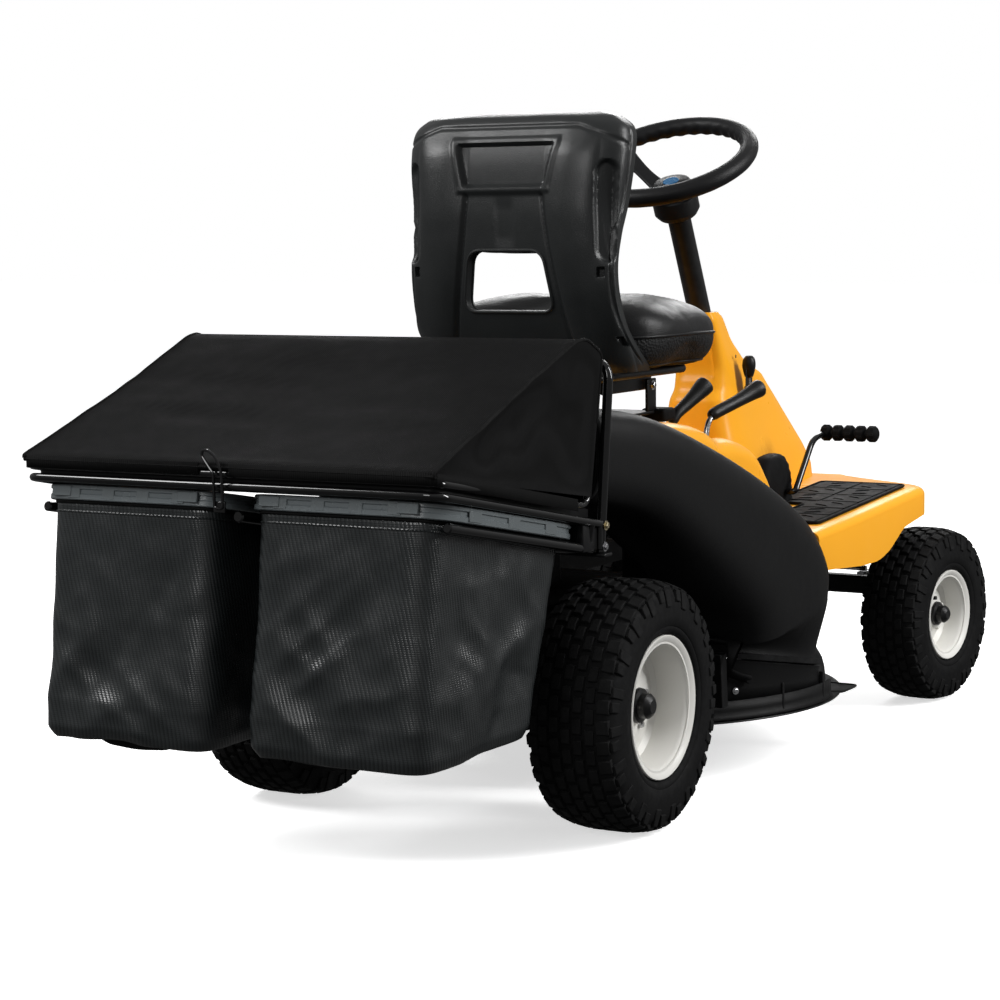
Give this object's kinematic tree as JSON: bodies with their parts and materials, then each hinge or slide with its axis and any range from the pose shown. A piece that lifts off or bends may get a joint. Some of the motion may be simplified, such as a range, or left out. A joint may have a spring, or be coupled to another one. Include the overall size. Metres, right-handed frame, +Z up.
{
  "type": "riding lawn mower",
  "caption": "Rear-engine riding lawn mower with a steering wheel, high-back seat, side-discharge deck, chute and a twin-bag rear grass collector under a tipping hood",
  "frame": {"origin": "on the ground under the middle of the bounding box", "axes": "X to the machine's right, Y forward, Z up"},
  "size_m": [0.8106, 2.0942, 1.144],
  "materials": {
    "black_paint": "gloss black powder coat",
    "yellow_panel": "glossy yellow-orange body panels",
    "black_plastic": "grained black moulded plastic",
    "rim_paint": "off-white enamel",
    "tyre": "black turf tyre rubber",
    "rubber": "black rubber",
    "steel": "plain steel",
    "cast": "rough grey casting",
    "vinyl": "smooth black vinyl with piping",
    "bag_fabric": "black ribbed nylon with a grey-green sheen",
    "rim_plastic": "dark grey-green moulded plastic"
  },
  "bodies": {
    "chassis": {"chassis_frame": "black_paint", "transaxle": "cast", "engine_block": "cast", "engine_shroud": "black_plastic", "muffler": "cast", "fuel_tank": "black_plastic", "body_console": "yellow_panel", "floor_pan": "yellow_panel", "foot_mat_right": "rubber", "foot_mat_left": "rubber", "dash_tower": "yellow_panel", "pedal_boot_right": "black_plastic", "seat_base": "black_paint", "bagger_bracket": "black_paint", "post_frame": "black_paint", "bag_support": "black_paint", "column_sleeve": "black_paint", "drive_belt": "rubber"},
    "fuel_cap": {"fuel_cap": "black_plastic"},
    "crank": {"crank_pulley": "steel"},
    "transaxle_input": {"transaxle_pulley": "steel"},
    "deck_drive_belt": {"deck_belt": "rubber"},
    "steering": {"steering_shaft": "steel", "steering_wheel": "black_plastic"},
    "sector": {"steering_sector": "steel"},
    "axle": {"front_axle": "black_paint"},
    "tie_rod": {"tie_rod": "steel"},
    "spindle_left": {"spindle_left": "steel"},
    "spindle_right": {"spindle_right": "steel"},
    "front_wheel_left": {"front_tyre_left": "tyre", "front_rim_left": "rim_paint"},
    "front_wheel_right": {"front_tyre_right": "tyre", "front_rim_right": "rim_paint"},
    "rear_wheel_left": {"rear_tyre_left": "tyre", "rear_rim_left": "rim_paint"},
    "rear_wheel_right": {"rear_tyre_right": "tyre", "rear_rim_right": "rim_paint"},
    "drive_pedal": {"drive_pedal": "black_paint", "drive_pedal_pad": "rubber"},
    "brake_pedal": {"brake_pedal": "black_paint"},
    "pto_lever": {"pto_lever": "black_plastic"},
    "lift_lever": {"lift_lever": "black_plastic"},
    "throttle": {"throttle_lever": "black_plastic"},
    "deck": {"deck_shell": "black_paint", "chute_adapter": "black_plastic", "discharge_chute": "black_plastic"},
    "chute_latch": {"chute_latch": "rubber"},
    "blade": {"blade_spindle": "steel", "blade": "steel"},
    "seat": {"seat_pan": "black_plastic", "seat_shell": "black_plastic", "seat_cushion": "vinyl", "back_cushion": "vinyl"},
    "hood": {"hood_frame": "black_paint", "hood_cover": "bag_fabric"},
    "wire_latch": {"wire_latch": "steel"},
    "bag_left": {"bag_rim_left": "rim_plastic", "bag_left": "bag_fabric"},
    "bag_right": {"bag_rim_right": "rim_plastic", "bag_right": "bag_fabric"}
  },
  "joints": [
    {"name": "axle_pivot", "type": "hinge", "parent": "chassis", "child": "axle", "pos_m": [0, 0.8776, 0.22], "axis": [0, 1, 0], "range_deg": [-4, 4]},
    {"name": "spindle_left_turn", "type": "hinge", "parent": "axle", "child": "spindle_left", "pos_m": [-0.245, 0.8776, 0.2], "axis": [0, 0, 1], "range_deg": [-20.85, 34.15]},
    {"name": "spindle_right_turn", "type": "hinge", "parent": "axle", "child": "spindle_right", "pos_m": [0.245, 0.8776, 0.2], "axis": [0, 0, 1], "range_deg": [-20.85, 34.15]},
    {"name": "tie_rod_shift", "type": "slide", "parent": "axle", "child": "tie_rod", "axis": [1, 0, 0], "range_m": [-0.03271, 0.05333]},
    {"name": "steering_turn", "type": "hinge", "parent": "chassis", "child": "steering", "pos_m": [0, 0.4126, 1.024], "axis": [0, -0.442, 0.897], "range_deg": [-83.4, 136.6]},
    {"name": "sector_turn", "type": "hinge", "parent": "chassis", "child": "sector", "pos_m": [-0.06, 0.7196, 0.2955], "axis": [0, 0, 1], "range_deg": [-34.15, 20.85]},
    {"name": "front_wheel_left_spin", "type": "hinge", "parent": "spindle_left", "child": "front_wheel_left", "pos_m": [-0.33, 0.8776, 0.1706], "axis": [0.9933, -0.1158, 0], "continuous": true},
    {"name": "front_wheel_right_spin", "type": "hinge", "parent": "spindle_right", "child": "front_wheel_right", "pos_m": [0.33, 0.8776, 0.1706], "axis": [0.9933, -0.1158, 0], "continuous": true},
    {"name": "rear_wheel_left_spin", "type": "hinge", "parent": "chassis", "child": "rear_wheel_left", "pos_m": [-0.307, -0.4004, 0.199], "axis": [1, 0, 0], "continuous": true},
    {"name": "rear_wheel_right_spin", "type": "hinge", "parent": "chassis", "child": "rear_wheel_right", "pos_m": [0.307, -0.4004, 0.199], "axis": [1, 0, 0], "continuous": true},
    {"name": "crank_spin", "type": "hinge", "parent": "chassis", "child": "crank", "pos_m": [0, -0.2704, 0.27], "axis": [0, 0, 1], "continuous": true},
    {"name": "transaxle_input_spin", "type": "hinge", "parent": "chassis", "child": "transaxle_input", "pos_m": [0, -0.4104, 0.327], "axis": [0, 0, 1], "continuous": true},
    {"name": "deck_lift", "type": "slide", "parent": "chassis", "child": "deck", "axis": [0, 0, 1], "range_m": [-0.05, 0]},
    {"name": "blade_spin", "type": "hinge", "parent": "deck", "child": "blade", "pos_m": [0, 0.1996, 0.2], "axis": [0, 0, 1], "continuous": true},
    {"name": "deck_belt_tilt", "type": "hinge", "parent": "chassis", "child": "deck_drive_belt", "pos_m": [0, -0.2704, 0.27], "axis": [1, 0, 0], "range_deg": [-6.2, 0]},
    {"name": "lift_lever_turn", "type": "hinge", "parent": "chassis", "child": "lift_lever", "pos_m": [0.15, 0.2196, 0.45], "axis": [-1, 0, 0], "range_deg": [0, 15.1]},
    {"name": "chute_latch_turn", "type": "hinge", "parent": "deck", "child": "chute_latch", "pos_m": [0.329, -0.0304, 0.2], "axis": [0.8083, -0.5888, 0], "range_deg": [0, 60]},
    {"name": "pto_lever_turn", "type": "hinge", "parent": "chassis", "child": "pto_lever", "pos_m": [0.1, 0.1796, 0.47], "axis": [-1, 0, 0], "range_deg": [0, 18]},
    {"name": "throttle_turn", "type": "hinge", "parent": "chassis", "child": "throttle", "pos_m": [0.0745, 0.5996, 0.615], "axis": [1, 0, 0], "range_deg": [-20, 25]},
    {"name": "drive_pedal_turn", "type": "hinge", "parent": "chassis", "child": "drive_pedal", "pos_m": [0.19, 0.5546, 0.437], "axis": [-1, 0, 0], "range_deg": [-8, 22]},
    {"name": "brake_pedal_turn", "type": "hinge", "parent": "chassis", "child": "brake_pedal", "pos_m": [-0.19, 0.5546, 0.437], "axis": [-1, 0, 0], "range_deg": [0, 22]},
    {"name": "seat_tip", "type": "hinge", "parent": "chassis", "child": "seat", "pos_m": [0, 0.1196, 0.664], "axis": [-1, 0, 0], "range_deg": [0, 40]},
    {"name": "hood_tip", "type": "hinge", "parent": "chassis", "child": "hood", "pos_m": [0, -0.5274, 0.743], "axis": [-1, 0, 0], "range_deg": [0, 70]},
    {"name": "wire_latch_turn", "type": "hinge", "parent": "hood", "child": "wire_latch", "pos_m": [0, -1.0324, 0.607], "axis": [-1, 0, 0], "range_deg": [0, 12]},
    {"name": "bag_left_slide", "type": "slide", "parent": "chassis", "child": "bag_left", "axis": [0, -0.9831, 0.1829], "range_m": [0, 0.38]},
    {"name": "bag_right_slide", "type": "slide", "parent": "chassis", "child": "bag_right", "axis": [0, -0.9831, 0.1829], "range_m": [0, 0.38]},
    {"name": "fuel_cap_turn", "type": "hinge", "parent": "chassis", "child": "fuel_cap", "pos_m": [-0.15, -0.3004, 0.5525], "axis": [0, 0, 1], "range_deg": [0, 90]}
  ],
  "couplings": [
    {"joint": "spindle_left_turn", "follows": "steering_turn", "ratio": 0.25},
    {"joint": "spindle_right_turn", "follows": "steering_turn", "ratio": 0.25},
    {"joint": "tie_rod_shift", "follows": "steering_turn", "m_per_rad": 0.0222},
    {"joint": "sector_turn", "follows": "steering_turn", "ratio": -0.25},
    {"joint": "transaxle_input_spin", "follows": "crank_spin", "ratio": 0.8},
    {"joint": "blade_spin", "follows": "crank_spin", "ratio": 0.6},
    {"joint": "lift_lever_turn", "follows": "deck_lift", "rad_per_m": -5.236},
    {"joint": "deck_belt_tilt", "follows": "deck_lift", "rad_per_m": 2.1277}
  ]
}
